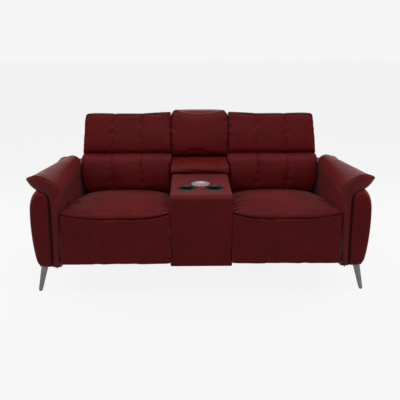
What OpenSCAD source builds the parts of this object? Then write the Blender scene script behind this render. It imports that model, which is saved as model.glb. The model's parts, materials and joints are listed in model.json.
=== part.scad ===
// Power reclining sofa: two reclining seats with a fixed console between them.
// Millimetres. +X is to the right seen from the front, +Y is to the back, +Z is up.
// Depths are measured back from the front of the console, and heights from the floor.
// The right-hand pieces are drawn, and the left-hand ones are their mirror images.

/* [Overall] */
// Width over the flared tips of the arm pillows
sofa_w = 2000; // [1960:5:2040]
// Depth from the bulge of the seats to the back of the shells
sofa_d = 960; // [950:5:990]
// How far the leather bulges in front of the console
bulge = 20; // [14:1:24]
// Gap between leather-covered parts that pass each other
side_gap = 5; // [3:0.5:6]
// Gap left between soft and hard parts that only touch
seat_air = 0.3; // [0.2:0.05:0.5]

/* [Console] */
// Width of the console
console_w = 354; // [340:2:370]
// Height of the console's underside
console_z = 160; // [150:1:175]
// Height of the console's deck
deck_z = 588; // [580:1:600]
// Depth of the console's deck
deck_d = 505; // [490:1:515]
// Thickness of the deck
deck_t = 18; // [12:1:24]
// Radius of the rolled top front edge
roll_r = 30; // [20:1:36]
// Thickness of the console's walls
wall = 14; // [10:1:18]
// Inner diameter of a cup holder
cup_bore = 82; // [74:1:90]
// Depth of a cup holder
cup_deep = 68; // [50:1:80]
// Diameter over a cup holder's rim
cup_rim = 114; // [106:1:120]
// Height of the rim above the deck
rim_h = 4; // [2:0.5:6]
// Wall of a cup holder
cup_wall = 2; // [1.5:0.1:3]
// Distance of each cup holder from the middle
cup_x = 82; // [78:1:90]
// Depth of the cup holders' centres
cup_y = 166; // [150:1:180]
// Diameter of the round metal tray
tray_d = 112; // [100:1:120]
// Depth of the tray's centre
tray_y = 267; // [262:1:280]
// Clearance round a cup holder or the tray in the deck
hole_air = 0.5; // [0.3:0.1:1]

/* [Seats] */
// Height of the seat cushion's underside
seat_z = 352; // [346:1:356]
// Height of the seat's highest point
seat_top = 512; // [500:1:520]
// Rise of the front seam from the middle to the corners
smile = 28; // [18:1:32]
// Height of the front seam at the middle
seam_z = 452; // [446:1:456]
// Depth of the seat cushion's back end
seat_end = 600; // [580:1:604]
// Height of the legrest cushion's lower edge
legrest_z = 184; // [176:1:196]
// Thickness of the legrest cushion
legrest_t = 50; // [46:1:52]
// Depth of the sewn channels
channel_deep = 5; // [2:0.5:8]
// Thickness of the side plates
plate_t = 6; // [4:0.5:7]
// Distance from the seat's inner edge to the carriage
carriage_in = 34; // [28:1:40]
// Distance from the back cushion's outer edge to the carriage
carriage_out = 17; // [14:1:24]
// Diameter of the wire of the seat springs
wire = 4; // [3:0.2:5]
// Number of seat springs in one seat
springs = 5; // [3:1:6]

/* [Footrest mechanism] */
// Depth of the pivot that the front links swing on
link_y = 100; // [98:1:104]
// Height of that pivot
link_z = 330; // [326:1:332]
// Length of the links between pivots
link_l = 160; // [158:1:161]
// Thickness of the links
link_t = 4; // [3:0.5:5]
// Radius round the ends of the links
link_r = 11; // [9:0.5:12]
// Radius of the mechanism's pins
pin_r = 5; // [4:0.5:6]
// Clearance round a pin
pin_air = 0.05; // [0.03:0.01:0.1]
// Space between two plates that swing past each other
plate_air = 0.5; // [0.4:0.1:1]
// Angle of the folded links off square, in degrees
fold = 7; // [6:0.5:8]
// Slope of the footrest's path, in degrees
path = 8; // [7:0.5:9]
// Swing of the front links, in degrees
swing = 67; // [60:1:68]
// Length of the crank that the motor pushes
crank = 80; // [70:1:86]
// Diameter of the motor's rail
rail_d = 16; // [12:1:20]

/* [Backs] */
// Depth of the hinge that the back reclines on
hinge_y = 628; // [624:1:632]
// Height of that hinge
hinge_z = 323; // [318:1:326]
// Depth of the back board's front
board_y = 690; // [686:1:694]
// Thickness of the back board
board_t = 15; // [12:1:16]
// Height of the lumbar cushion's lower edge
lumbar_z = 474; // [470:1:480]
// Height of the crease between the lumbar cushion and the headrest
crease_z = 710; // [706:1:714]
// Half the height of that crease
crease_h = 7; // [6.5:0.5:8]
// Depth of the pin that the headrest tilts on
tilt_y = 625; // [620:1:628]
// Radius of that pin
tilt_r = 3; // [2.5:0.5:3.5]
// Height of the headrests' upper corners
head_z = 962; // [950:1:970]
// Height of the back shells' upper edge
shell_z = 915; // [900:1:925]
// Height of the back shells' lower edge
shell_low = 245; // [240:1:270]
// Height of the centre head cushion's top
mid_z = 986; // [975:1:1000]
// Depth of the board behind the centre head cushion
mid_y = 724; // [716:1:732]
// Depth of the upright that the centre bolster leans on
bolster_y = 642; // [636:1:648]

/* [Arms] */
// Width of an arm over its pillow
arm_w = 178; // [170:1:190]
// How much an arm widens inwards towards the back
arm_taper = 60; // [50:1:64]
// Depth at which that widening ends
taper_d = 545; // [520:5:560]
// Height of the arm pillow's ridge
arm_z = 704; // [690:1:712]
// Height of the arm pillow's lower inner edge
pillow_z = 594; // [586:1:600]
// Height of the arms' underside
arm_low = 150; // [146:1:156]
// Depth of the arm pillow's back end
pillow_d = 585; // [560:5:600]
// Width of the inner panel's front strip
strip_w = 46; // [40:1:50]
// Dark gap between the strip and the outer panel
groove = 11; // [8:1:13]

/* [Legs] */
// Height of the outer panels' underside
panel_low = 150; // [146:1:156]
// Thickness of the steel plates that hold the legs
fitting_t = 5; // [4:0.5:7]
// Height of the glides
glide_h = 5; // [4:0.5:8]
// Radius of the glides
glide_r = 9; // [7:0.5:10]
// Width of a leg at its top
leg_top = 43; // [36:1:48]
// Width of a leg at its foot
leg_foot = 24; // [20:1:28]
// Distance of a leg's top from the tip of the arm pillow
leg_in = 70; // [64:1:76]
// Thickness of a leg's two flanges
leg_t = 4; // [3:0.5:5]
// How far a leg's foot stands outside its top
leg_splay = 25; // [18:1:30]
// How far a leg's foot stands before or behind its top
leg_rake = 38; // [30:1:44]

/* [Hidden] */
$fn = 48;
leather = "#48181a";
leather_dark = "#3c0e10";
gunmetal = "#5a585c";
black = "#1c1c1e";
timber = "#b08a5c";
steel = "#8a8d92";

half_w = sofa_w / 2;
console_half = console_w / 2;
front_y = bulge - sofa_d / 2;
rear_d = sofa_d - bulge;
seat_in = console_half + side_gap;
back_in = seat_in + 6;
arm_in = half_w - arm_w;
arm_in_rear = arm_in - arm_taper;
seat_out = arm_in - side_gap;
back_out = arm_in_rear - side_gap;
strip_out = arm_in + 6 + strip_w;
outer_in = strip_out + groove;
rail_low = arm_low;
leg_h = panel_low - 1 - fitting_t;
rail_top = 186;
rail_w = 36;
rail_in = arm_in + 21;
rail_y = 112;
rail_gap = 372;
spring_z = seat_z - seat_air - wire;
plate_z = 300;
plate_in = seat_in + carriage_in;
plate_out = back_out - carriage_out;
carriage_w = plate_out - plate_in;
carriage_x = (plate_in + plate_out) / 2;
link_x = plate_in + plate_t + plate_air;
rear_x = link_x + link_t + plate_air;
eye_x = rear_x + link_t + plate_air;
lumbar_top = crease_z - crease_h;
head_low = crease_z + crease_h;
motor_z = link_z - crank * cos(swing / 2) - 2;
// Way that the footrest's pivot moves, and the square to it that the links fold along
ahead = [-cos(path), sin(path)];
aside = [-sin(path), -cos(path)];
link_top = [link_y, link_z];
link_knee = link_top + link_l * (sin(fold) * ahead + cos(fold) * aside);
link_end = link_top + 2 * link_l * sin(fold) * ahead;

// ---- Helpers ----

// Draws its children on the right of the sofa, or mirrored on the left
module on_side(right) {
    if (right) translate([0, front_y, 0]) children();
    else mirror([1, 0, 0]) translate([0, front_y, 0]) children();
}

// Draws its children at the inner side plate and again at the outer one
module on_both_plates() {
    children();
    translate([2 * carriage_x, 0, 0]) mirror([1, 0, 0]) children();
}

// A box between two corners
module box(from, to) {
    translate(from) cube(to - from);
}

// A plate that stands across X, drawn as an outline of [depth, height] points
module plate(x, t, outline) {
    translate([x, 0, 0]) rotate([90, 0, 90]) linear_extrude(t) polygon(outline);
}

// A round bar along X
module bar(x_from, x_to, at, r) {
    translate([x_from, at[0], at[1]]) rotate([0, 90, 0]) cylinder(h = x_to - x_from, r = r);
}

// Outline of a flat bar with round ends between two pivots
function bar_outline(from, to, r) =
    let (along = atan2(to[1] - from[1], to[0] - from[0])) concat(
        [for (a = [90:15:270]) from + r * [cos(along + a), sin(along + a)]],
        [for (a = [-90:15:90]) to + r * [cos(along + a), sin(along + a)]]);

// A link of flat bar with a hole at each pivot in `bores`
module link(x, from, to, bores) {
    difference() {
        plate(x, link_t, bar_outline(from, to, link_r));
        for (b = bores) bar(x - 1, x + link_t + 1, b, pin_r + pin_air);
    }
}

// One round of corner cutting turns an outline of few points into a soft one
function soften(p) = [
    for (i = [0:len(p) - 1])
        let (a = p[i], b = p[(i + 1) % len(p)])
        each [0.75 * a + 0.25 * b, 0.25 * a + 0.75 * b]
];

// A closed skin through rings of points, each ring as long as the next
module loft(rings) {
    n = len(rings[0]);
    last = (len(rings) - 1) * n;
    polyhedron(
        points = [for (r = rings) each r],
        faces = concat(
            [for (i = [0:len(rings) - 2], j = [0:n - 1])
                let (a = i * n + j, b = i * n + (j + 1) % n)
                each [[a, b, b + n], [a, b + n, a + n]]],
            [for (j = [1:n - 2]) [0, j + 1, j]],
            [for (j = [1:n - 2]) [last, last + j, last + j + 1]]
        )
    );
}

// Stations across a cushion from one end to the other; close ones shape the channels and the ends
sewn = [-1, -0.97, -0.88, -0.66, -0.4, -1 / 3, -0.27, 0, 0.27, 1 / 3, 0.4, 0.66, 0.88, 0.97, 1];
plain = [-1, -0.98, -0.9, -0.72, -0.4, 0, 0.4, 0.72, 0.9, 0.98, 1];

// Fullness of a cushion at station v, from 1 at the middle to `ends` at its drawn-in ends
function full(v, ends) = ends + (1 - ends) * pow(1 - pow(abs(v), 5), 0.5);
// Depth of the sewn channels at station v
function channel(v) = channel_deep * exp(-pow((abs(v) - 1 / 3) / 0.03, 2));

// A stuffed cushion between two side edges. Its outline at station v is a list of [depth, height].
module cushion(outline, core, x_from, x_to, ends, stations, channels) {
    loft([
        for (v = stations) [
            for (p = soften(outline(v)))
                let (
                    in = channels && p[0] < core[0] ? channel(v) / norm(p - core) : 0,
                    q = core + (full(v, ends) - in) * (p - core),
                    u = (v + 1) / 2
                )
                [x_from + (x_to(q) - x_from) * u, q[0], q[1]]
        ]
    ]);
}

// Inner face of an arm at a given depth
function arm_edge(y) = arm_in - arm_taper * min(1, max(0, y / taper_d));
// Rise of the front seam at station v
function seam_rise(v) = smile * pow(abs(v), 3);

// ---- Base ----

// Rail across the base, thinned where it passes under the arms' inner panels
module cross_rail(y) {
    low = rail_low - 6;
    box([-strip_out + 4, y, low], [strip_out - 4, y + rail_w, arm_low - seat_air]);
    box([-arm_edge(y + rail_w) + 1, y, low], [arm_edge(y + rail_w) - 1, y + rail_w, console_z]);
    for (s = [-1, 1]) scale([s, 1, 1])
        box([rail_in, y, low], [strip_out - 4, y + rail_w, console_z]);
}

// Timber rails under the arms and the console, with two rails across
module base_frame() {
    color(timber) translate([0, front_y, 0]) {
        for (s = [-1, 1]) {
            scale([s, 1, 1]) box([rail_in, 21, rail_low], [strip_out - 4, rear_d - 20, rail_top]);
            box([s * 90 - 18, 64, rail_low - 6], [s * 90 + 18, rear_d - 60, console_z]);
        }
        for (y = [rail_y, rail_y + rail_gap]) cross_rail(y);
    }
}

// Outline of a leg's angle section: an outer corner at the front and two flanges
function angle_section(w, t) = [[0, 0], [w / 2, w / 2], [w / 2 - t, w / 2 + t],
    [0, 2 * t], [t - w / 2, w / 2 + t], [-w / 2, w / 2]];
leg_x = half_w - leg_in;
leg_y = 60;

// One splayed leg folded from sheet; `rear` mirrors it front to back
module leg(right, rear) {
    color(gunmetal) on_side(right) translate([0, rear ? rear_d - bulge : 0, 0])
        mirror([0, rear ? 1 : 0, 0]) loft([
            for (k = [1, 0])
                [for (p = angle_section(k ? leg_top : leg_foot, leg_t))
                    [leg_x + p[0] + (k ? 0 : leg_splay), leg_y + p[1] - (k ? 0 : leg_rake), k ? leg_h : glide_h]]
        ]);
}

// Places its children at each of the four feet
module at_feet(dx, dy) {
    for (right = [false, true], rear = [false, true])
        on_side(right) translate([0, rear ? rear_d - bulge : 0, 0]) mirror([0, rear ? 1 : 0, 0])
            translate([leg_x + dx, leg_y + dy, 0]) children();
}

module leg_glides() {
    color(black) at_feet(leg_splay, leg_foot / 3 - leg_rake) cylinder(h = glide_h, r = glide_r);
}

// Steel plates that hold the legs to the side rails
module leg_fittings() {
    inner = rail_in - leg_x;
    color(black) at_feet(0, 0) {
        box([inner, -8, leg_h], [leg_top / 2 + 4, leg_top - 6, leg_h + fitting_t]);
        box([inner, -8, leg_h + fitting_t - 1], [strip_out - 4 - leg_x, leg_top - 6, arm_low]);
        translate([rail_in + 7 - leg_x, 30 - leg_y, arm_low - 8]) cylinder(h = 8, r = 5);
    }
}

// ---- Arms ----

// Timber box inside an arm, with two battens that carry the outer panel
module arm_frame(right) {
    inner = arm_in_rear + 14;
    color(timber) on_side(right) {
        box([strip_out - 12, 40, rail_top], [strip_out - 4, rear_d - 20, pillow_z - 6]);
        box([arm_in + 22, 22, rail_top], [strip_out - 4, 40, pillow_z - 6]);
        for (z = [rail_top + 74, pillow_z - 124])
            box([strip_out - 5, 70, z], [outer_in - seat_air, rear_d - 70, z + 40]);
        box([inner, rear_d - 38, rail_top], [strip_out - 12, rear_d - 20, pillow_z - 6]);
        translate([0, 0, pillow_z - 6]) linear_extrude(5.7)
            polygon([[arm_in + 22, 22], [strip_out - 4, 22], [strip_out - 4, rear_d - 20],
                [inner, rear_d - 20], [inner, taper_d + 20]]);
    }
}

// Upholstered front strip and inner side of an arm
module arm_inner_panel(right) {
    color(leather) on_side(right) translate([0, 0, arm_low]) linear_extrude(pillow_z - arm_low - seat_air)
        polygon([[arm_in, 0], [arm_in + 6, -8], [strip_out - 6, -8], [strip_out, 0], [strip_out, 20],
            [arm_in + 20, 20], [arm_in_rear + 13, taper_d + 8], [arm_in_rear + 13, rear_d - 20],
            [arm_in_rear, rear_d - 20], [arm_in_rear, taper_d]]);
}

// Padded outer panel of an arm, leaf-shaped seen from the front
module arm_outer_panel(right) {
    leaf = [[outer_in, pillow_z], [outer_in + 22, pillow_z + 12], [outer_in + 68, pillow_z + 4], [outer_in + 107, 535],
        [outer_in + 111, 420], [outer_in + 98, 290], [outer_in + 76, panel_low + 24], [outer_in + 48, panel_low - 2],
        [outer_in, panel_low + 4]];
    core = [outer_in, 380];
    length = rear_d - 6;
    color(leather) on_side(right) loft([
        for (v = plain)
            [for (p = soften(leaf))
                let (q = core + full(v, 0.86) * (p - core))
                [q[0], length / 2 + v * (length / 2 + 6), q[1]]]
    ]);
}

// Sections of an arm pillow at its front and back ends: [from the arm's inner face, height]
pillow_front = [[4, pillow_z], [-22, pillow_z + 6], [-20, arm_z - 56], [40, arm_z - 12], [108, arm_z + 8],
    [arm_w + 24, arm_z - 22], [arm_w - 34, pillow_z + 42], [arm_w - 108, pillow_z + 14], [60, pillow_z]];
pillow_back = [[4, pillow_z], [0, pillow_z + 6], [0, arm_z - 24], [28, arm_z], [74, arm_z + 4],
    [arm_w - 60, arm_z - 12], [arm_w - 54, arm_z - 60], [arm_w - 58, pillow_z + 10], [106, pillow_z]];

// Pillow on top of an arm, with its outer edge flared towards the front
module arm_pillow(right) {
    color(leather) on_side(right) loft([
        for (v = [1, 0.97, 0.88, 0.7, 0.35, 0, -0.35, -0.7, -0.88, -0.97, -1])
            let (
                y = (pillow_d - 12) / 2 + v * (pillow_d + 12) / 2,
                t = (v + 1) / 2,
                core = [80 - 26 * t, pillow_z + 52]
            )
            [for (p = soften([for (i = [0:8]) pillow_front[i] * (1 - t) + pillow_back[i] * t]))
                let (q = core + full(v, 0.86) * (p - core))
                [arm_edge(y) + 0.3 + q[0], y, max(pillow_z, q[1])]]
    ]);
}

// ---- Console ----

// Covered box of the console, open at its top and bottom, with a rolled top front edge
module console_shell() {
    roll = [for (a = [180:-15:90]) [roll_r + roll_r * cos(a), deck_z - roll_r + roll_r * sin(a)]];
    color(leather_dark) translate([0, front_y, 0]) difference() {
        plate(-console_half, console_w, concat([[0, console_z]], roll,
            [[roll_r + 2, deck_z], [roll_r + 2, deck_z - deck_t], [deck_d, deck_z - deck_t], [deck_d, console_z]]));
        box([wall - console_half, roll_r + 2, console_z - 1], [console_half - wall, deck_d - wall, deck_z]);
        for (s = [-1, 1]) scale([s, 1, 1])
            box([console_half - wall - 1, plate_y - 1, switch_z - 1],
                [console_half + 1, plate_y + switch_d + 1, switch_z + switch_h + 1]);
    }
}

// Deck with holes for the cup holders and the tray
module console_deck() {
    color(leather) translate([0, front_y, 0]) difference() {
        box([-console_half, roll_r + 2, deck_z - deck_t], [console_half, deck_d, deck_z]);
        for (s = [-1, 1]) translate([s * cup_x, cup_y, deck_z - deck_t - 1])
            cylinder(h = deck_t + 2, d = cup_bore + 2 * cup_wall + 2 * hole_air);
        translate([0, tray_y, deck_z - deck_t - 1]) cylinder(h = deck_t + 2, d = tray_d - 12 + 2 * hole_air);
    }
}

module cup_holder(right) {
    r = cup_bore / 2;
    color(black) on_side(right) translate([cup_x, cup_y, deck_z]) rotate_extrude() polygon([
        [0, -cup_deep - 3], [r + cup_wall, -cup_deep - 3], [r + cup_wall, 0], [cup_rim / 2, 0],
        [cup_rim / 2 - 1, rim_h - 1.5], [cup_rim / 2 - 4, rim_h], [r + 2, rim_h], [r, rim_h - 2],
        [r, -cup_deep], [0, -cup_deep]]);
}

// Shallow metal dish with a recessed middle
module round_tray() {
    r = tray_d / 2;
    color(steel) translate([0, front_y + tray_y, deck_z]) rotate_extrude() polygon([
        [0, -10], [r - 6, -10], [r - 6, 0], [r, 0], [r, 1.5], [r - 2, 3], [r - 12, 3],
        [r - 18, -3], [r - 24, -6], [0, -6]]);
}

switch_z = 520;
switch_h = 46;
switch_d = 60;
plate_y = 90;

// Plate with a pocket for each of the two rockers, let into the console's side
module switch_plate(right) {
    back = console_half - wall;
    color(black) on_side(right) difference() {
        union() {
            box([back, plate_y - 0.5, switch_z - 0.5], [console_half + 0.5, plate_y + switch_d + 0.5, switch_z + switch_h + 0.5]);
            box([console_half + 0.5, plate_y - 4, switch_z - 4],
                [console_half + 2.5, plate_y + switch_d + 4, switch_z + switch_h + 1]);
        }
        for (k = [0, 1]) translate([back + 4, plate_y + switch_d / 2, rocker_z(k)]) {
            translate([-1, -17, -8]) cube([30, 34, 16]);
            translate([5, 0, -10]) cylinder(h = 20, r = 1.5 + pin_air);
        }
    }
}

function rocker_z(k) = switch_z + 12 + 22 * k;

// Rocker that turns on an upright pin
module rocker(right, k) {
    color("#2c2c30") on_side(right)
        translate([console_half - wall + 9, plate_y + switch_d / 2, rocker_z(k)]) {
            translate([0, 0, -7.5]) linear_extrude(15)
                polygon([[-3, -14], [6.5, -14], [8, -13], [6.6, 0], [8, 13], [6.5, 14], [-3, 14]]);
            translate([0, 0, -9.5]) cylinder(h = 19, r = 1.5);
        }
}

// Timber frame of the fixed middle back and the plinth under its bolster
module center_back_frame() {
    outline = [[deck_d + 1, console_z], [rear_d - 50, console_z], [rear_d - 20, 480], [rear_d, 720],
        [rear_d - 12, 880], [rear_d - 60, mid_z - 36], [mid_y, mid_z - 36], [mid_y, lumbar_top - 3],
        [bolster_y, lumbar_top - 13], [bolster_y, deck_z], [deck_d + 1, deck_z]];
    color(timber) translate([0, front_y, 0]) {
        for (x = [-170, 152]) plate(x, 18, outline);
        box([-152, deck_d + 1, console_z], [152, deck_d + 19, deck_z]);
        box([-152, deck_d + 19, deck_z - 18], [152, bolster_y, deck_z]);
        box([-152, mid_y, 560], [152, mid_y + 18, mid_z - 36]);
        box([-152, rear_d - 72, console_z], [152, rear_d - 54, 460]);
        box([-152, mid_y + 18, mid_z - 54], [152, 860, mid_z - 36]);
    }
}

// Fixed lumbar bolster behind the deck
module center_bolster() {
    low = deck_z + seat_air;
    color(leather) translate([0, front_y, 0]) cushion(
        function(v) [[deck_d + 12, low], [deck_d - 6, low + 24], [deck_d, low + 70], [deck_d + 36, low + 104],
            [deck_d + 80, low + 108], [bolster_y - seat_air, low + 90], [bolster_y - seat_air, low]],
        [deck_d + 90, low], -console_half + 5, function(q) console_half - 5, 0.9, plain, false);
}

// Fixed head cushion of the middle
module center_head_cushion() {
    color(leather) translate([0, front_y, 0]) cushion(
        function(v) [[mid_y - 112, lumbar_top - 1], [mid_y - 136, lumbar_top + 19], [mid_y - 134, mid_z - 186],
            [mid_y - 106, mid_z - 86], [mid_y - 84, mid_z - 6], [mid_y - 48, mid_z],
            [mid_y - 8, mid_z - 22], [mid_y - seat_air, mid_z - 126], [mid_y - seat_air, lumbar_top - 1]],
        [mid_y - seat_air, 830], -console_half - 3, function(q) console_half + 3, 0.9, plain, false);
}

// Low-voltage socket on the back of the middle frame
module power_inlet() {
    y = front_y + rear_d - 54;
    color(black) translate([0, y, 230]) difference() {
        translate([-22, 0, -16]) cube([44, 14, 32]);
        translate([0, 4, 0]) rotate([-90, 0, 0]) cylinder(h = 11, d = 9);
    }
}

// ---- Seat carriage ----

module seat_cushion(right) {
    out = function(q) arm_edge(q[0]) - side_gap;
    color(leather) on_side(right) cushion(
        function(v) let (s = seam_rise(v), b = 18 * pow(abs(v), 3) - bulge) [
            [480, 478], [seat_end - 20, 466], [seat_end, 440], [seat_end, seat_z], [56, seat_z],
            [44, seat_z + 14], [44, seam_z - 27 + s], [14, seam_z - 2 + s], [b + 6, seam_z + 4 + s],
            [b - 5, seam_z + 20 + s], [b + 6, seat_top - 12], [60, seat_top + 2], [260, seat_top - 2]],
        [330, seat_z], seat_in, out, 0.93, plain, false);
}

// Side plates, rails, recline hinge pins, and the runners that slide in the base's rails
module seat_frame(right) {
    color(steel) on_side(right) {
        on_both_plates() {
            plate(plate_in, plate_t, [[link_y - 18, plate_z + 12], [link_y - 6, plate_z], [hinge_y + 4, plate_z],
                [hinge_y + 16, plate_z + 10], [hinge_y + 16, 342], [hinge_y + 8, 346],
                [link_y - 10, 346], [link_y - 18, 338]]);
            bar(link_x - plate_air, link_x + link_t - 0.2, link_top, pin_r);
            bar(plate_in - link_t - 2 * plate_air, plate_in, [hinge_y, hinge_z], pin_r);
            box([plate_in, 230, plate_z - 4], [runner_x + 1.5, 520, plate_z]);
            box([runner_x - 1.5, 230, 204], [runner_x + 1.5, 520, plate_z]);
            box([runner_x - 9, 230, 192], [runner_x + 9, 520, 206]);
        }
        box([plate_in, rail_y + 18, 318], [plate_out, rail_y + rail_w, spring_z]);
        box([plate_in, seat_end - 30, 318], [plate_out, seat_end - 12, spring_z]);
        box([carriage_x - 30, seat_end - 30, 236], [carriage_x + 30, seat_end - 24, 318]);
    }
}
runner_x = plate_in + 36;

// Channels on the base that the seat's runners slide in
module slide_rails(right) {
    color(gunmetal) on_side(right) on_both_plates() {
        translate([runner_x, 140, 0]) rotate([90, 0, 180]) linear_extrude(390)
            polygon([[-13, 188], [13, 188], [13, 210], [3, 210], [3, 207], [9.8, 207],
                [9.8, 191], [-9.8, 191], [-9.8, 207], [-3, 207], [-3, 210], [-13, 210]]);
        for (y = [rail_y, rail_y + rail_gap])
            box([runner_x - 13, y, console_z], [runner_x + 13, y + rail_w, 188]);
    }
}

// One wavy spring wire from the front rail to the rear one
function wave(y, side) = 22 * sin(y * 360 / 78) + side * wire / 2;
module seat_springs(right) {
    ends = [130, seat_end - 12];
    color(steel) on_side(right) for (i = [0:springs - 1])
        translate([plate_in + carriage_w * (i + 0.5) / springs, 0, spring_z]) linear_extrude(wire)
            polygon(concat(
                [for (k = [0:48]) let (y = ends[0] + (ends[1] - ends[0]) * k / 48) [wave(y, -1), y]],
                [for (k = [48:-1:0]) let (y = ends[0] + (ends[1] - ends[0]) * k / 48) [wave(y, 1), y]]));
}

// Pair of links on the carriage, joined by a tube with the crank that the motor pushes
module front_links(right) {
    aim = 270 + swing / 2;
    color(gunmetal) on_side(right) {
        on_both_plates() {
            link(link_x, link_top, link_knee, [link_top]);
            bar(link_x + link_t - 1, rear_x + link_t + 1, link_knee, pin_r);
        }
        bar(link_x + link_t, 2 * carriage_x - link_x - link_t, link_top, 9);
        for (s = [-1, 1]) translate([carriage_x + s * 20 - 2, link_y, link_z]) rotate([aim, 0, 0])
            translate([0, 0, -8]) cube([4, crank + 6, 16]);
    }
}

// Pair of links between the front links and the footrest
module rear_links(right) {
    color(steel) on_side(right) on_both_plates() {
        link(rear_x, link_knee, link_end, [link_knee]);
        bar(rear_x + link_t - 1, eye_x + link_t + 1, link_end, pin_r);
    }
}

module legrest_cushion(right) {
    back = legrest_t - 24;
    color(leather) on_side(right) cushion(
        function(v) let (s = seam_rise(v), b = 18 * pow(abs(v), 3) - bulge) [
            [14 - bulge, legrest_z], [-bulge, legrest_z + 16], [b, 300], [b, seam_z - 40 + s],
            [b + 10, seam_z - 2 + s], [14, seam_z - 12 + s], [back, seam_z - 28 + s],
            [back, legrest_z + 6], [16, legrest_z]],
        [back, 320], seat_in, function(q) seat_out - 2, 0.97, sewn, true);
}

// Board behind the legrest cushion with an eye for each rear link
module legrest_frame(right) {
    front = legrest_t - 24 + seat_air;
    eye = link_end;
    color(timber) on_side(right) {
        box([seat_in + 16, front, 200], [seat_out - 30, front + 12, 400]);
        on_both_plates() difference() {
            union() {
                plate(eye_x, link_t, [[front + 12, 258], [front + 12, eye[1] + link_r],
                    [eye[0], eye[1] + link_r], [eye[0], eye[1] - link_r], [front + 20, 258]]);
                bar(eye_x, eye_x + link_t, eye, link_r);
            }
            bar(eye_x - 1, eye_x + link_t + 1, eye, pin_r + pin_air);
        }
    }
}

// Motor under the seat with the rail that its drive block runs on
module footrest_motor(right) {
    color(black) on_side(right) translate([carriage_x, 0, motor_z]) {
        translate([0, 44, 0]) rotate([-90, 0, 0]) cylinder(h = 380, d = rail_d);
        box([-26, 420, -30], [26, seat_end - 30, 26]);
        translate([0, 450, -52]) cylinder(h = 30, r = 24);
    }
}

// Block that the motor moves along its rail to push the crank
module drive_block(right) {
    y = link_y + crank * sin(swing / 2);
    color(steel) on_side(right) translate([carriage_x, y, motor_z]) difference() {
        box([-16, -12, -16], [16, 12, 16]);
        translate([0, -13, 0]) rotate([-90, 0, 0]) cylinder(h = 26, d = rail_d + 0.2);
    }
}

// ---- Reclining back ----

module lumbar_cushion(right) {
    rear = board_y - seat_air;
    out = function(q) back_out - 22 * pow(max(0, (q[1] - 629) / (lumbar_top - 629)), 2)
        - 8 * pow(max(0, (629 - q[1]) / (629 - lumbar_z)), 2);
    color(leather) on_side(right) cushion(
        function(v) [[rear - 124, lumbar_z], [rear - 152, lumbar_z + 10], [rear - 160, lumbar_z + 46],
            [rear - 158, lumbar_z + 106], [rear - 142, lumbar_top - 63], [rear - 112, lumbar_top - 10],
            [rear - 84, lumbar_top], [rear - 10, lumbar_top], [rear, lumbar_top - 10], [rear, lumbar_z]],
        [rear, 590], back_in, out, 0.9, sewn, true);
}

// Timber ladder behind the cushions, with the recline brackets and the headrest's hinge arms
module back_frame(right) {
    y = board_y;
    color(timber) on_side(right) {
        for (k = [0:3]) let (x = back_in + 12 + k * (2 * (carriage_x - back_in) - 68) / 3)
            box([x, y, 330], [x + 44, y + board_t, lumbar_top]);
        for (z = [330, 470, 643]) box([back_in + 12, y, z], [2 * carriage_x - back_in - 12, y + board_t, z + 60]);
        on_both_plates() {
            difference() {
                plate(plate_in - link_t - plate_air, link_t, [[hinge_y - 12, hinge_z - 10], [hinge_y, hinge_z - 16],
                    [hinge_y + 12, hinge_z - 12], [y + 5, 330], [y + 5, 470], [y, 470],
                    [hinge_y - 8, hinge_z + 16], [hinge_y - 14, hinge_z + 6]]);
                bar(plate_in - 9, plate_in + 2, [hinge_y, hinge_z], pin_r + pin_air);
            }
            box([strap_x, y, lumbar_top - 20], [strap_x + 20, y + board_t, crease_z + 2.5]);
            box([strap_x, tilt_y + 2, crease_z - 2.5], [strap_x + 20, y + 1, crease_z + 2.5]);
            bar(strap_x, strap_x + 20, [tilt_y, crease_z], 5.5);
            bar(strap_x - 21, strap_x + 1, [tilt_y, crease_z], tilt_r);
        }
    }
}
strap_x = plate_in + 105;

// Covered rear shell, open towards the board
module back_shell(right) {
    y = board_y + board_t;
    rear = rear_d;
    outline = [[y, shell_low + 14], [y + 20, shell_low], [rear - 60, shell_low - 8], [rear - 40, shell_low + 8],
        [rear - 14, 500], [rear, 720], [rear - 10, 850], [rear - 50, shell_z - 6], [rear - 90, shell_z],
        [y + 8, shell_z], [y + 8, lumbar_top + 3], [y, lumbar_top]];
    color(leather_dark) on_side(right) difference() {
        plate(back_in + 4, back_out - back_in - 8, outline);
        plate(back_in + 22, back_out - back_in - 44, [[y - 1, shell_low + 36], [rear - 62, shell_low + 36],
            [rear - 34, 500], [rear - 22, 690], [y - 1, 690]]);
    }
}

module headrest_cushion(right) {
    rear = board_y + board_t + 1;
    dip = function(v) 12 * (1 - v * v);
    out = function(q) back_out - 17 - 14 * max(0, (q[1] - head_low) / (head_z - head_low));
    color(leather) on_side(right) cushion(
        function(v) [[rear - 90, head_low], [rear - 114, head_low + 5], [rear - 118, head_low + 43],
            [rear - 106, head_low + 113], [rear - 86, head_z - 62], [rear - 70, head_z - dip(v)],
            [rear - 40, head_z + 2 - dip(v)], [rear - 6, head_z - 22 - dip(v)], [rear, head_z - 102],
            [rear, head_low]],
        [rear, 830], back_in, out, 0.95, sewn, true);
}

// Steel plate behind the headrest cushion with two arms to its tilt pin
module headrest_frame(right) {
    y = board_y + board_t + 1 + seat_air;
    x = strap_x - 20.5;
    color(steel) on_side(right) {
        box([back_in + 40, y, crease_z - 2.5], [2 * carriage_x - back_in - 40, y + 4, 900]);
        on_both_plates() difference() {
            union() {
                box([x, tilt_y + 2, crease_z - 2.5], [x + 20, y + 1, crease_z + 2.5]);
                bar(x, x + 20, [tilt_y, crease_z], 5.5);
            }
            bar(x - 1, x + 21, [tilt_y, crease_z], tilt_r + pin_air);
        }
    }
}

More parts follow.
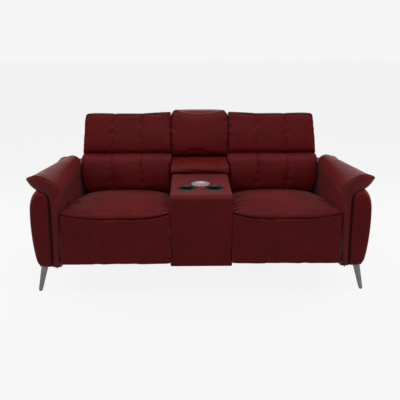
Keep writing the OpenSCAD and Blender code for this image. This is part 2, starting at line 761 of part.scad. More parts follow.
base_frame();
leg(false, false);  // front_left_leg
leg(true, false);  // front_right_leg
leg(false, true);  // rear_left_leg
leg(true, true);  // rear_right_leg
leg_glides();
leg_fittings();
arm_frame(false);  // left_arm_frame
arm_frame(true);  // right_arm_frame
arm_inner_panel(false);  // left_arm_inner_panel
arm_inner_panel(true);  // right_arm_inner_panel
arm_outer_panel(false);  // left_arm_outer_panel
arm_outer_panel(true);  // right_arm_outer_panel
arm_pillow(false);  // left_arm_pillow
arm_pillow(true);  // right_arm_pillow
console_shell();
console_deck();
cup_holder(false);  // left_cup_holder
cup_holder(true);  // right_cup_holder
round_tray();
center_back_frame();
center_bolster();
center_head_cushion();
switch_plate(false);  // left_switch_plate
switch_plate(true);  // right_switch_plate
power_inlet();
rocker(false, 0);  // left_footrest_rocker
rocker(true, 0);  // right_footrest_rocker
rocker(false, 1);  // left_headrest_rocker
rocker(true, 1);  // right_headrest_rocker
seat_cushion(false);  // left_seat_cushion
seat_cushion(true);  // right_seat_cushion
seat_frame(false);  // left_seat_frame
seat_frame(true);  // right_seat_frame
seat_springs(false);  // left_seat_springs
seat_springs(true);  // right_seat_springs
front_links(false);  // left_front_links
front_links(true);  // right_front_links
rear_links(false);  // left_rear_links
rear_links(true);  // right_rear_links
legrest_cushion(false);  // left_legrest_cushion
legrest_cushion(true);  // right_legrest_cushion
legrest_frame(false);  // left_legrest_frame
legrest_frame(true);  // right_legrest_frame
footrest_motor(false);  // left_footrest_motor
footrest_motor(true);  // right_footrest_motor
drive_block(false);  // left_drive_block
drive_block(true);  // right_drive_block
lumbar_cushion(false);  // left_lumbar_cushion
lumbar_cushion(true);  // right_lumbar_cushion
back_frame(false);  // left_back_frame
back_frame(true);  // right_back_frame
back_shell(false);  // left_back_shell
back_shell(true);  // right_back_shell
headrest_cushion(false);  // left_headrest_cushion
headrest_cushion(true);  // right_headrest_cushion
headrest_frame(false);  // left_headrest_frame
headrest_frame(true);  // right_headrest_frame
slide_rails(false);  // left_slide_rails
slide_rails(true);  // right_slide_rails
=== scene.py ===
"""Looks of a power reclining sofa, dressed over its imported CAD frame.

Metres, with +X to the right seen from the front, +Y to the back and +Z up. Shapes are written in
millimetres, as the sofa was measured: depth back from the console's front, and height from the floor.
"""
import json
import math

import bmesh
import bpy
import numpy as np
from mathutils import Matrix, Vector, noise
from mathutils.geometry import delaunay_2d_cdt


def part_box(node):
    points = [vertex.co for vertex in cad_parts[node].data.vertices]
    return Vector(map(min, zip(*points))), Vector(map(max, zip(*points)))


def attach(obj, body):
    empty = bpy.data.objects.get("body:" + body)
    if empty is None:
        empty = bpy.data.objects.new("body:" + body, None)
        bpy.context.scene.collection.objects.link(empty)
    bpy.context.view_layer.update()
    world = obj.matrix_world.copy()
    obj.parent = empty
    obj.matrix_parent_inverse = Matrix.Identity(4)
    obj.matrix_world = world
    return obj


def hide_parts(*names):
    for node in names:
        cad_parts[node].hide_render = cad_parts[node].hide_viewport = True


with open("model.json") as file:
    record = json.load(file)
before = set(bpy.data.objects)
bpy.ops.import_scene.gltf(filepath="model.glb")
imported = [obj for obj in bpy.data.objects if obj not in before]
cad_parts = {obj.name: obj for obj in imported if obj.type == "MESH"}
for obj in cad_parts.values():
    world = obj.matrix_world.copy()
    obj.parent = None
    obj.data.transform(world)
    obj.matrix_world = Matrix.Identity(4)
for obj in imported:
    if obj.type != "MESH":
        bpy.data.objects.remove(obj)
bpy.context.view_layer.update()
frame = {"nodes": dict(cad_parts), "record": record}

MM = 0.001
scene = bpy.context.scene

# ---- Sizes, taken from the frame where it holds them ----

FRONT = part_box("console_shell")[0].y
CONSOLE_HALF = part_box("console_shell")[1].x / MM
DECK_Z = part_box("console_deck")[1].z / MM
ARM_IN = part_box("right_arm_inner_panel")[0].x / MM
ARM_TAPER, TAPER_D = 60, 545    # an arm's inner face comes in by the first on the way back to the second
ARM_FRONT = ARM_IN + ARM_TAPER
REAR_D = (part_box("right_arm_outer_panel")[1].y - FRONT) / MM
OUTER_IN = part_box("right_arm_outer_panel")[0].x / MM
STRIP_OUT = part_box("right_arm_inner_panel")[1].x / MM
ARM_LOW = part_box("right_arm_inner_panel")[0].z / MM
BACK_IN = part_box("right_lumbar_cushion")[0].x / MM
BACK_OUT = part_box("right_lumbar_cushion")[1].x / MM
SEAM_Z = 452                    # height of the seam between seat and legrest, at the middle of a seat
SMILE = 28                      # how far that seam rises at its ends
BULGE = 20                      # how far the middle of a legrest stands out in front of the console


def arm_edge(depth):
    """Inner face of an arm at a depth, in millimetres."""
    return ARM_FRONT - ARM_TAPER * np.clip(np.asarray(depth, float) / TAPER_D, 0, 1)


def ease(t):
    """0 below 0, 1 above 1, and a smooth step between."""
    t = min(1.0, max(0.0, t))
    return t * t * (3 - 2 * t)


# ---- Materials ----

LEATHER = (0.066, 0.0030, 0.0034)
# Darker copy of the leather: painted shade for gaps, creases and edges that lie in shadow
LEATHER_PAINTED_SHADE = (0.038, 0.0016, 0.0019)
THREAD = (0.110, 0.0130, 0.0145)


def new_material(name):
    mat = bpy.data.materials.new(name)
    mat.use_nodes = True
    tree = mat.node_tree
    return mat, tree, tree.nodes["Principled BSDF"]


def mapped(tree, setting, value):
    """Object coordinates, moved by a Location or stretched by a Scale."""
    place = tree.nodes.new("ShaderNodeTexCoord")
    mapping = tree.nodes.new("ShaderNodeMapping")
    mapping.inputs[setting].default_value = value
    tree.links.new(place.outputs["Object"], mapping.inputs["Vector"])
    return mapping.outputs["Vector"]


def texture(tree, kind, scale, vector=None, **settings):
    """A procedural texture in object space, with scale in features per metre."""
    if vector is None:
        place = tree.nodes.get("place") or tree.nodes.new("ShaderNodeTexCoord")
        place.name = "place"
        vector = place.outputs["Object"]
    node = tree.nodes.new(kind)
    tree.links.new(vector, node.inputs["Vector"])
    node.inputs["Scale"].default_value = scale
    for key, value in settings.items():
        node.inputs[key].default_value = value
    return node


def ramp(tree, source, low, high, stops=(0.3, 0.7)):
    """A colour that goes from low to high between two values of the source."""
    node = tree.nodes.new("ShaderNodeValToRGB")
    node.color_ramp.elements[0].position = stops[0]
    node.color_ramp.elements[1].position = stops[1]
    node.color_ramp.elements[0].color = (*low, 1)
    node.color_ramp.elements[1].color = (*high, 1)
    tree.links.new(source, node.inputs["Fac"])
    return node.outputs["Color"]


def grey(tree, source, low, high, stops=(0.3, 0.7)):
    """The same for a plain number, such as a roughness."""
    return ramp(tree, source, (low,) * 3, (high,) * 3, stops)


def bump(tree, layers, shader):
    """Chains bump layers of (height socket, strength, distance in metres) into the shader's normal."""
    last = None
    for height, strength, distance in layers:
        node = tree.nodes.new("ShaderNodeBump")
        node.inputs["Strength"].default_value = strength
        node.inputs["Distance"].default_value = distance
        tree.links.new(height, node.inputs["Height"])
        if last is not None:
            tree.links.new(last, node.inputs["Normal"])
        last = node.outputs["Normal"]
    tree.links.new(last, shader.inputs["Normal"])


def leather_material(name, base, rough=0.5, specular=0.07):
    """Soft semi-matt leather: pebbled grain, fine creases, and a cloudy colour and gloss.

    It has little mirror shine, as the photographed leather stays deep red where it faces the camera.
    """
    mat, tree, shader = new_material(name)
    clouds = texture(tree, "ShaderNodeTexNoise", 7, Detail=5, Roughness=0.6)
    dark = tuple(c * 0.86 for c in base)
    light = tuple(min(1, c * 1.14 + 0.0003) for c in base)
    tree.links.new(ramp(tree, clouds.outputs["Fac"], dark, light), shader.inputs["Base Color"])
    gloss = texture(tree, "ShaderNodeTexNoise", 30, Detail=4)
    tree.links.new(grey(tree, gloss.outputs["Fac"], rough - 0.05, rough + 0.07), shader.inputs["Roughness"])
    pebble = texture(tree, "ShaderNodeTexVoronoi", 620)
    pebble.feature = "SMOOTH_F1"
    crease = texture(tree, "ShaderNodeTexVoronoi", 110, Randomness=1.0)
    crease.feature = "DISTANCE_TO_EDGE"
    folds = texture(tree, "ShaderNodeTexNoise", 22, Detail=6, Roughness=0.55, Distortion=0.4)
    creased = grey(tree, crease.outputs["Distance"], 0, 1, (0.0, 0.05))
    bump(tree, [(folds.outputs["Fac"], 0.22, 0.004), (creased, 0.05, 0.0006),
                (pebble.outputs["Distance"], 0.25, 0.0007)], shader)
    shader.inputs["Specular IOR Level"].default_value = specular
    shader.inputs["Sheen Weight"].default_value = 0.04
    shader.inputs["Sheen Roughness"].default_value = 0.35
    return mat


def metal_material(name, low, high, rough, grain=(1, 1, 1), scale=90, metallic=1.0):
    """Brushed or coated metal, with the grain stretched along an axis."""
    mat, tree, shader = new_material(name)
    brushed = texture(tree, "ShaderNodeTexNoise", scale, mapped(tree, "Scale", grain), Detail=6)
    tree.links.new(ramp(tree, brushed.outputs["Fac"], low, high), shader.inputs["Base Color"])
    gloss = grey(tree, brushed.outputs["Fac"], rough - 0.06, rough + 0.08)
    tree.links.new(gloss, shader.inputs["Roughness"])
    shader.inputs["Metallic"].default_value = metallic
    bump(tree, [(brushed.outputs["Fac"], 0.12, 0.0003)], shader)
    return mat


def plastic_material(name, colour, rough, texture_scale=900, depth=0.0002, specular=0.5):
    """Moulded plastic with a fine spark-eroded texture."""
    mat, tree, shader = new_material(name)
    grain = texture(tree, "ShaderNodeTexNoise", texture_scale, Detail=3)
    wear = texture(tree, "ShaderNodeTexNoise", 14, Detail=5)
    lighter = tuple(min(1, c * 1.25 + 0.002) for c in colour)
    tree.links.new(ramp(tree, wear.outputs["Fac"], colour, lighter), shader.inputs["Base Color"])
    tree.links.new(grey(tree, wear.outputs["Fac"], rough - 0.04, rough + 0.06), shader.inputs["Roughness"])
    bump(tree, [(grain.outputs["Fac"], 0.2, depth)], shader)
    shader.inputs["Specular IOR Level"].default_value = specular
    return mat


def timber_material(name, low, high):
    """Bare frame timber: long grain rings with a rough, dull surface."""
    mat, tree, shader = new_material(name)
    along = mapped(tree, "Scale", (1, 0.12, 1))
    rings = texture(tree, "ShaderNodeTexWave", 26, along, Distortion=7, Detail=4)
    tree.links.new(ramp(tree, rings.outputs["Fac"], low, high, (0.1, 0.9)), shader.inputs["Base Color"])
    shader.inputs["Roughness"].default_value = 0.72
    bump(tree, [(rings.outputs["Fac"], 0.15, 0.0006)], shader)
    return mat


def tray_material(name):
    """Spun metal with fine rings round the tray's own centre."""
    mat, tree, shader = new_material(name)
    low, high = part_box("round_tray")
    centred = mapped(tree, "Location", -(low + high) / 2)
    rings = texture(tree, "ShaderNodeTexWave", 260, centred, Distortion=0.6)
    rings.wave_type = "RINGS"
    rings.rings_direction = "Z"
    tree.links.new(ramp(tree, rings.outputs["Fac"], (0.235, 0.215, 0.21), (0.27, 0.245, 0.24)),
                   shader.inputs["Base Color"])
    shader.inputs["Metallic"].default_value = 0.5
    shader.inputs["Roughness"].default_value = 0.5
    bump(tree, [(rings.outputs["Fac"], 0.1, 0.0002)], shader)
    return mat


leather = leather_material("wine_leather", LEATHER)
# The same leather made darker: painted shade, for the cloth in the backs' gaps, the welts in creases and the
# frame's dark_leather parts
leather_painted_shade = leather_material("wine_leather_painted_shade", LEATHER_PAINTED_SHADE, 0.54)
arm_leather = leather_material("wine_leather_polished", LEATHER, 0.46, 0.12)
thread = plastic_material("sewing_thread", THREAD, 0.7, 2500, specular=0.1)
gunmetal = metal_material("gunmetal", (0.112, 0.109, 0.116), (0.195, 0.190, 0.202), 0.36, (1, 1, 0.05), 160)
steel = metal_material("zinc_steel", (0.30, 0.31, 0.33), (0.46, 0.47, 0.49), 0.38, (1, 0.2, 1), 60)
black = plastic_material("black_plastic", (0.012, 0.012, 0.013), 0.48)
rocker_black = plastic_material("rocker_plastic", (0.03, 0.03, 0.033), 0.4)
cup_gloss = plastic_material("cup_gloss", (0.008, 0.011, 0.011), 0.2, 500, 0.00005, 0.36)
# The frame's timber is darkened: painted shade, where it shows in the gaps between cushions and under the
# legrests
timber = timber_material("frame_timber", (0.085, 0.050, 0.029), (0.15, 0.092, 0.054))
tray_metal = tray_material("spun_metal")

NODE_MATERIAL = {
    "timber": timber, "steel": steel, "gunmetal": gunmetal, "black_plastic": black,
    "rocker_plastic": rocker_black, "cup_plastic": cup_gloss, "tray_metal": tray_metal,
    "leather": leather, "dark_leather": leather_painted_shade,
}
for part in frame["record"]["subparts"]:
    for slot in frame["nodes"][part["node"]].material_slots:
        slot.material = NODE_MATERIAL[part["material_slot"]]


# ---- Shapes ----

CLOTH_FRAMES = 14
CLOTH_SLACK = 0.02              # how much larger the cover's cloth is than the stuffing


def smooth_curve(points, count, rounds=4, bend=26):
    """A closed outline of few points, rounded by corner cutting and resampled, closer where it bends.

    `bend` is how many millimetres of straight line count as much as one radian of turn.
    """
    p = np.asarray(points, float)
    for _ in range(rounds):
        q = np.roll(p, -1, axis=0)
        p = np.stack([0.75 * p + 0.25 * q, 0.25 * p + 0.75 * q], axis=1).reshape(-1, p.shape[1])
    step = np.roll(p, -1, axis=0) - p
    angle = np.arctan2(step[:, -1], step[:, -2])
    turn = np.abs((angle - np.roll(angle, 1) + math.pi) % (2 * math.pi) - math.pi)
    length = np.linalg.norm(step, axis=1) + bend * 0.5 * (turn + np.roll(turn, -1))
    run = np.concatenate([[0], np.cumsum(length)])
    closed = np.vstack([p, p[:1]])
    at = np.linspace(0, run[-1], count, endpoint=False)
    return np.stack([np.interp(at, run, closed[:, k]) for k in range(p.shape[1])], axis=1)


def to_row(depth_frame):
    """Points of [x, depth, height] in millimetres, moved into the row frame in metres."""
    p = np.array(depth_frame, float) * MM
    p[..., 1] += FRONT
    return p


def make_object(name, points, faces, material, smooth=True):
    mesh = bpy.data.meshes.new(name)
    mesh.from_pydata([tuple(p) for p in points], [], faces)
    mesh.materials.append(material)
    mesh.shade_smooth() if smooth else None
    obj = bpy.data.objects.new(name, mesh)
    scene.collection.objects.link(obj)
    return obj


def ring_faces(rings, size):
    """Quads between rings of `size` points that follow each other."""
    faces = []
    for i in range(rings - 1):
        for j in range(size):
            a, b = i * size + j, i * size + (j + 1) % size
            faces.append((a, a + size, b + size, b))
    return faces


def lofted(name, rings, material):
    """A closed skin over rings of points in metres, with a face in each end."""
    rings = np.asarray(rings, float)
    count, size = rings.shape[:2]
    ends = [tuple(range(size)), tuple(range((count - 1) * size, count * size))[::-1]]
    obj = make_object(name, rings.reshape(-1, 3), ring_faces(count, size) + ends, material)
    face_out(obj)
    return obj


def end_rings(ring, count, bulge, axis=0):
    """Rings that close an end towards its middle, domed outwards along an axis."""
    middle = ring.mean(axis=0)
    made = []
    for k in range(1, count + 1):
        s = 1 - k / (count + 0.3)
        r = middle + (ring - middle) * s
        r[:, axis] += bulge * math.sqrt(1 - s * s)
        made.append(r)
    return made


def capped(rings, count, bulge, axis=0):
    """Rings with both of their ends closed."""
    return end_rings(rings[0], count, -bulge, axis)[::-1] + rings + end_rings(rings[-1], count, bulge, axis)


def rough(points, scale, seed):
    """Smooth noise from -1 to 1 at each point, with scale in features per metre."""
    return np.array([noise.noise(Vector((p[0] * scale + seed, p[1] * scale, p[2] * scale - seed)))
                     for p in points])


def coordinates(obj):
    co = np.empty(len(obj.data.vertices) * 3)
    obj.data.vertices.foreach_get("co", co)
    return co.reshape(-1, 3)


def set_coordinates(obj, co):
    obj.data.vertices.foreach_set("co", np.asarray(co, float).ravel())
    obj.data.update()


def face_out(obj):
    """Turns all faces outwards."""
    mesh = bmesh.new()
    mesh.from_mesh(obj.data)
    bmesh.ops.recalc_face_normals(mesh, faces=mesh.faces)
    mesh.to_mesh(obj.data)
    mesh.free()


def puff(obj, held, pressure, cap):
    """Blows the cover up as cloth under pressure. No point moves over `cap` metres, nor one `held` at 1."""
    before = coordinates(obj)
    group = obj.vertex_groups.new(name="held")
    for weight in (1.0, 0.5):
        chosen = np.nonzero(np.abs(held - weight) < 0.26)[0]
        if len(chosen):
            group.add(chosen.tolist(), weight, "REPLACE")
    cloth = obj.modifiers.new("Cloth", "CLOTH")
    s = cloth.settings
    s.quality = 6
    s.mass = 0.35
    s.tension_stiffness = s.compression_stiffness = s.shear_stiffness = 18
    s.bending_stiffness = 1.2
    s.shrink_min = -CLOTH_SLACK
    s.use_pressure = True
    s.uniform_pressure_force = pressure
    s.vertex_group_mass = "held"
    s.effector_weights.gravity = 0
    cloth.collision_settings.use_collision = False
    cloth.point_cache.frame_start, cloth.point_cache.frame_end = 1, CLOTH_FRAMES
    for f in range(1, CLOTH_FRAMES + 1):
        scene.frame_set(f)
    shown = obj.evaluated_get(bpy.context.evaluated_depsgraph_get())
    after = np.array([v.co for v in shown.data.vertices], float)
    obj.modifiers.remove(cloth)
    obj.vertex_groups.clear()
    scene.frame_set(1)
    move = after - before
    length = np.linalg.norm(move, axis=1, keepdims=True)
    move *= np.minimum(1, cap / np.maximum(length, 1e-9))
    set_coordinates(obj, before + move)


def subdivide(obj, levels=1):
    smooth = obj.modifiers.new("Subdivision", "SUBSURF")
    smooth.levels = smooth.render_levels = levels


def end_steps(reach, count):
    """Distances from a rounded end, closest together at the end itself."""
    return [reach * (1 - math.cos(math.pi / 2 * k / count)) for k in range(count)]


def round_share(edge, reach):
    """0 at a rounded end and 1 from `reach` on, along a quarter of an ellipse."""
    return math.sqrt(max(0.0, 1 - (1 - min(1, edge / reach)) ** 2))


SEAM_STEPS = (-21, -14, -9, -6, -4, -2, 0, 2, 4, 6, 9, 14, 21)
SEAM_ROOM = 23                  # no other station lies nearer to a seam, in millimetres
SEAM_APART = 9                  # a seam's stations stay this far from another seam


def stations(width, reach, seams, step=13):
    """Places across a cushion in millimetres: dense at its rounded ends and beside its seams."""
    at = set(end_steps(reach, 7)) | {width - d for d in end_steps(reach, 7)}
    at |= set(np.arange(reach, width - reach, step))
    for s in seams:
        others = [o for o in seams if o != s]
        at = {a for a in at if abs(a - s) > SEAM_ROOM}
        at |= {s + d for d in SEAM_STEPS if all(abs(s + d - o) > SEAM_APART for o in others)}
    return sorted(at)


class Cushion:
    """A stuffed cushion lofted across X, from an outline that may change on the way.

    outline(v) gives [depth, height] points at v from -1 to 1, and x_from and x_to the cushion's two sides at
    a depth and height. The cushion is drawn in towards `core` at its rounded ends, to the share `ends` of
    its outline, and sinks at its seams, which lie at shares of its width. Only the part of it that is
    `shown` is seamed, creased and blown up.
    """

    CAPS = 5                    # rings that close each end

    def __init__(self, name, outline, core, x_from, x_to, ends=0.9, reach=45, crown=0.0, seams=(),
                 sink=4.0, round_count=84, dome=0.5, seed=1.0, wrinkle=1.0, shown=None):
        self.core, self.size = np.array(core, float), round_count
        self.full = full = abs(x_to(*core) - x_from(*core))
        self.seam_at = [full * s for s in seams]
        self.at = stations(full, reach, self.seam_at)
        self.shown = shown or (lambda depth, height: depth < core[0])
        self.seed, self.wrinkle = seed, wrinkle
        rings = []
        for a in self.at:
            v = 2 * a / full - 1
            drawn = ends + (1 - ends) * round_share(min(a, full - a), reach)
            drawn *= 1 - crown * v * v
            ring = smooth_curve(outline(v), round_count)
            q = self.core + drawn * (ring - self.core)
            dip = sum(self.groove(abs(a - s), sink) for s in self.seam_at)
            towards = self.core - q
            towards /= np.maximum(np.linalg.norm(towards, axis=1, keepdims=True), 1)
            q = q + towards * dip * np.array([1.0 if self.shown(*p) else 0.0 for p in q])[:, None]
            near, far = (np.array([edge_at(*p) for p in q]) for edge_at in (x_from, x_to))
            rings.append(np.column_stack([near + (far - near) * a / full, q]))
        rings = capped(rings, self.CAPS, dome)
        self.rows = len(rings)
        self.obj = lofted(name, to_row(rings), leather)

    @staticmethod
    def groove(distance, sink):
        """Depth of a seam at a distance from it: a fine groove in a wide soft dip."""
        return sink * (0.6 * math.exp(-(distance / 2.4) ** 2) + 0.4 * math.exp(-(distance / 17) ** 2))

    def grid(self):
        """The cushion's points, less its end caps, as rows across X."""
        return coordinates(self.obj).reshape(self.rows, self.size, 3)[self.CAPS:self.rows - self.CAPS]

    def finish(self, pressure, cap):
        """Puckers the cover beside its seams and ends, blows it up and smooths it."""
        co = coordinates(self.obj)
        outside = 20
        grid_x = np.concatenate([[-outside] * self.CAPS, self.at, [self.full + outside] * self.CAPS])
        across = np.repeat(grid_x, self.size)
        near = np.exp(-np.minimum(np.abs(across), np.abs(self.full - across)) / 55)
        for s in self.seam_at:
            near = np.maximum(near, np.exp(-np.abs(across - s) / 26))
        wave = rough(co, 34, self.seed) * near * 0.0016 + rough(co, 9, self.seed + 5) * 0.0022
        middle = co.reshape(self.rows, self.size, 3).mean(axis=1).repeat(self.size, axis=0)
        out = co - middle
        out /= np.linalg.norm(out, axis=1, keepdims=True) + 1e-9
        keep = np.array([1.0 if self.shown((p[1] - FRONT) / MM, p[2] / MM) else 0.0 for p in co])
        set_coordinates(self.obj, co + out * (wave * self.wrinkle * keep)[:, None])
        held = 1 - keep
        for s in self.seam_at:
            held = np.maximum(held, (np.abs(across - s) < 3) * 1.0)
        held = np.maximum(held, ((across <= 0) | (across >= self.full)) * 1.0)
        puff(self.obj, held, pressure, cap)
        subdivide(self.obj)


def tube(name, path, radius, material, sides=8):
    """A round cord of leather, such as a piped edge, along a path of points in metres."""
    path = np.asarray(path, float)
    ahead = np.gradient(path, axis=0)
    ahead /= np.linalg.norm(ahead, axis=1, keepdims=True) + 1e-12
    up = np.array([0.31, 0.17, 0.93])
    rings = []
    for p, t in zip(path, ahead):
        a = np.cross(t, up)
        a /= np.linalg.norm(a) + 1e-12
        b = np.cross(t, a)
        rings.append([p + radius * (math.cos(w) * a + math.sin(w) * b)
                      for w in np.linspace(0, 2 * math.pi, sides, endpoint=False)])
    return lofted(name, rings, material)


def stitches(name, paths, normals, length=0.0052, gap=0.0026, radius=0.0006, lift=0.0003):
    """Rows of stitches as short beads of thread along paths, each lying on its surface."""
    points, faces = [], []
    for path, out in zip(paths, normals):
        path, out = np.asarray(path, float), np.asarray(out, float)
        run = np.concatenate([[0], np.cumsum(np.linalg.norm(np.diff(path, axis=0), axis=1))])
        for start in np.arange(gap, run[-1] - length - gap, length + gap):
            at = [np.array([np.interp(start + length * k, run, path[:, c]) for c in range(3)])
                  for k in (0, 0.5, 1)]
            n = np.array([np.interp(start + length / 2, run, out[:, c]) for c in range(3)])
            n /= np.linalg.norm(n) + 1e-12
            side = np.cross(at[2] - at[0], n)
            side /= np.linalg.norm(side) + 1e-12
            base = len(points)
            for p, r, h in ((at[0], 0.5, -0.6), (at[1], 1.0, 1.0), (at[2], 0.5, -0.6)):
                mid = p + n * (lift + radius * h * 0.6)
                points += [mid + radius * r * (math.cos(w) * side + math.sin(w) * n)
                           for w in (0, 1.57, 3.14, 4.71)]
            for first in (base, base + 4):
                faces += [(first + j, first + (j + 1) % 4, first + 4 + (j + 1) % 4, first + 4 + j)
                          for j in range(4)]
            faces += [(base + 3, base + 2, base + 1, base), (base + 8, base + 9, base + 10, base + 11)]
    return make_object(name, points, faces, thread)


def mirrored(obj, name):
    """A copy of a piece on the other side of the sofa."""
    mesh = obj.data.copy()
    other = bpy.data.objects.new(name, mesh)
    scene.collection.objects.link(other)
    co = coordinates(other)
    co[:, 0] *= -1
    set_coordinates(other, co)
    mesh.flip_normals()
    for m in obj.modifiers:
        if m.type == "SUBSURF":
            subdivide(other, m.levels)
    return other


def dress(obj, body, nodes=(), both=True):
    """Sets what a right-hand piece rides on and replaces, and does the same for its mirrored twin."""
    pairs = [(obj, "right")]
    if both:
        pairs.append((mirrored(obj, obj.name.replace("right_", "left_")), "left"))
    for piece, side in pairs:
        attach(piece, body.replace("right", side))
        if nodes:
            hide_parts(*[n.replace("right", side) for n in nodes])
    return obj


def rows_normals(grid):
    """Rough outward directions of a cushion's grid of points, across its outline."""
    middle = grid.mean(axis=1, keepdims=True)
    out = grid - middle
    out[..., 0] = 0
    return out / (np.linalg.norm(out, axis=2, keepdims=True) + 1e-12)


def seam_rows(cushion, name, body, spread, low, high):
    """Two rows of stitches beside each seam, where the cover faces out between two heights."""
    grid, out = cushion.grid(), rows_normals(cushion.grid())
    paths, ups = [], []
    for s in cushion.seam_at:
        for d in (-spread, spread):
            i = int(np.argmin(np.abs(np.array(cushion.at) - (s + d))))
            line, n = grid[i], out[i]
            keep = [j for j in range(len(line)) if low * MM < line[j][2] < high * MM
                    and line[j][1] < FRONT + cushion.core[0] * MM - 0.04 and n[j][1] < 0.2]
            keep.sort(key=lambda j: line[j][2])
            paths.append(line[keep])
            ups.append(n[keep])
    dress(stitches(name, paths, ups), body)


# ---- Seats ----

CONSOLE_SWELL, SWELL_FULL, SWELL_END = 3.7, 30, 76      # the console's cover is wider at its front
SEAT_GAP, SLIDE_GAP = 1.2, 4.6                          # the second lets the seat pass that swelling
SEAT_TOP, SEAT_BASE, SEAT_BACK = 517, 352.5, 600
SEAT_CROWN = 34                                         # how much lower a seat is at its sides


def seam_rise(v):
    """How far the seam between seat and legrest rises towards a seat's sides."""
    return SMILE * abs(v) ** 3


def nose_back(v):
    """Depth of the front of seat and legrest, which stand out at their middle."""
    return 18 * abs(v) ** 3 - BULGE


def console_side(depth):
    """Half width of the console's cover."""
    return CONSOLE_HALF + CONSOLE_SWELL * ease((SWELL_END - depth) / (SWELL_END - SWELL_FULL))


def seat_inner(depth, height):
    return CONSOLE_HALF + SEAT_GAP + SLIDE_GAP * ease((400 - depth) / 110)


def seat_edge(depth, height):
    return float(arm_edge(depth)) - 4


def seat_outline(v):
    """From the top at the back, down and under to the seam at the front, and up over the nose."""
    s, b, crown = seam_rise(v), nose_back(v), SEAT_CROWN * abs(v) ** 3
    lip, top = SEAM_Z + 1.5 + s, SEAT_TOP - crown
    return [[480, top - 35], [580, top - 51], [SEAT_BACK, SEAT_TOP - 71 - crown / 2], [SEAT_BACK, SEAT_BASE],
            [56, SEAT_BASE], [42, 366], [42, lip - 24], [18, lip - 2], [b + 5, lip], [b, lip + 3],
            [b + 3, lip + 20 - 0.45 * s], [b + 30, SEAT_TOP - 19 - 0.35 * crown], [112, top - 3], [260, top]]


seat = Cushion("right_seat_cover", seat_outline, (330, SEAT_BASE), seat_inner, seat_edge, ends=0.95,
               reach=34, dome=0.4, seed=2.0, round_count=120, shown=lambda d, h: h > 400 and d < 560)
seat.finish(pressure=2.0, cap=0.004)
dress(seat.obj, "right_seat", ["right_seat_cushion"])


# ---- Legrests ----

LEG_SEAMS = (0.319, 0.347, 0.653, 0.681)                # two double seams


def legrest_outline(v):
    b, top = nose_back(v), SEAM_Z - 0.5 + seam_rise(v)
    return [[-6, 178], [2 - BULGE, 181], [-BULGE, 198], [b, 300], [b, top - 26], [b, top - 4],
            [b + 4, top], [16, top - 2], [25, top - 22], [26, 190], [20, 181]]


legrest = Cushion("right_legrest_cover", legrest_outline, (26, 320), lambda d, h: CONSOLE_HALF + 4.4,
                  lambda d, h: ARM_FRONT - 8, ends=0.985, reach=10, dome=0.4, seams=LEG_SEAMS, sink=1.5,
                  seed=4.0)
legrest.finish(pressure=1.5, cap=0.002)
dress(legrest.obj, "right_legrest", ["right_legrest_cushion"])
seam_rows(legrest, "right_legrest_stitches", "right_legrest", 4, 196, 440)


# ---- Backs ----

THIRDS = (1 / 3, 2 / 3)
BOARD_D, BOARD_TOP = 689, 704                           # front and top of the board in each back
HEAD_LOW, HEAD_Z = 703, 963


def lumbar_inner(depth, height):
    """Makes room for the bolster of the middle below its top."""
    return CONSOLE_HALF + 2.5 + 7.5 * ease((668 - height) / 30)


def lumbar_edge(depth, height):
    """The outer side is rounded off at its top, and draws in below behind the arm."""
    high = max(0.0, (height - 665) / 35) ** 2
    low = max(0.0, (640 - height) / 170) ** 2.5
    return BACK_OUT + 2 - 9 * min(high, 1.4) - 28 * min(low, 1.2) * ease((height - 425) / 30)


def lumbar_outline(v):
    return [[636, 404], [606, 452], [566, 460], [540, 464], [529, 500], [530, 580], [542, 640], [562, 690],
            [588, 707], [680, 707], [BOARD_D, 692], [BOARD_D, 404]]


lumbar = Cushion("right_lumbar_cover", lumbar_outline, (BOARD_D, 590), lumbar_inner, lumbar_edge, ends=0.93,
                 reach=20, crown=0.01, dome=0.4, seams=THIRDS, sink=2.6, seed=7.0)
lumbar.finish(pressure=2.0, cap=0.005)
dress(lumbar.obj, "right_back", ["right_lumbar_cushion"])
seam_rows(lumbar, "right_lumbar_stitches", "right_back", 4, 486, 690)


def boxes(name, limits, material):
    """Plain boxes, each given by its two corners, as one piece."""
    points, faces = [], []
    for a, b in limits:
        base = len(points)
        points += [[x, y, z] for y in (a[1], b[1]) for z in (a[2], b[2]) for x in (a[0], b[0])]
        faces += [tuple(base + i for i in f) for f in
                  ((0, 1, 3, 2), (4, 6, 7, 5), (0, 4, 5, 1), (2, 3, 7, 6), (0, 2, 6, 4), (1, 5, 7, 3))]
    return make_object(name, to_row(points), faces, material, smooth=False)


# Cloth over the board's front, its two sides and its top, in the darker leather: painted shade that hides the
# frame in the gaps beside the cushions
near, far, foot_z = BOARD_D - 0.8, BOARD_D + 19, 330
shade_lining = boxes("right_back_lining",
               [([BACK_IN - 5, near, foot_z], [BACK_OUT - 1, BOARD_D + 0.6, BOARD_TOP]),
                ([BACK_IN - 5, BOARD_D + 0.6, foot_z], [BACK_IN + 11, far, BOARD_TOP]),
                ([BACK_OUT - 0.7, near, foot_z], [BACK_OUT + 0.8, far, BOARD_TOP]),
                ([BACK_IN - 5, near, BOARD_TOP - 0.8], [BACK_OUT + 0.8, far, BOARD_TOP + 0.6])],
               leather_painted_shade)
dress(shade_lining, "right_back")


def head_edge(depth, height):
    """The outer side leans in as it rises, and is rounded off at its top."""
    lean = 23 * max(0.0, (height - HEAD_LOW) / (HEAD_Z - HEAD_LOW))
    return BACK_OUT - 8 - lean - 9 * max(0.0, (height - 925) / 30) ** 2


